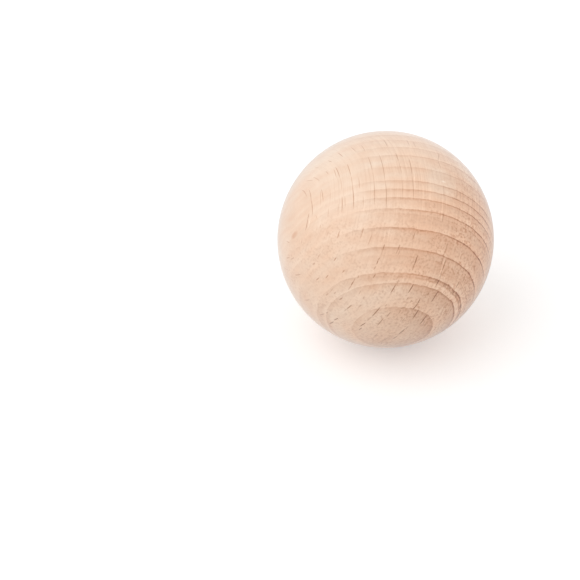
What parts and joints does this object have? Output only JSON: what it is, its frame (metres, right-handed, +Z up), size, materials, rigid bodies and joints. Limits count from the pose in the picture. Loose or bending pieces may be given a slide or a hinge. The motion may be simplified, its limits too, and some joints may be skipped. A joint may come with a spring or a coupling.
{
  "type": "wooden ball",
  "caption": "Plain turned beech ball: a solid sphere, sanded smooth and left bare, with no hole or flat.",
  "frame": {"origin": "the centre of the ball", "axes": "+Z up as the ball lies in the picture, with the picture taken from the -Y side and from above; the wood's grain, growth rings and rays lie at a slant to all three axes"},
  "size_m": [0.05, 0.05, 0.05],
  "materials": {
    "beech": "satin"
  },
  "bodies": {
    "root": {"ball": "beech"}
  },
  "joints": []
}
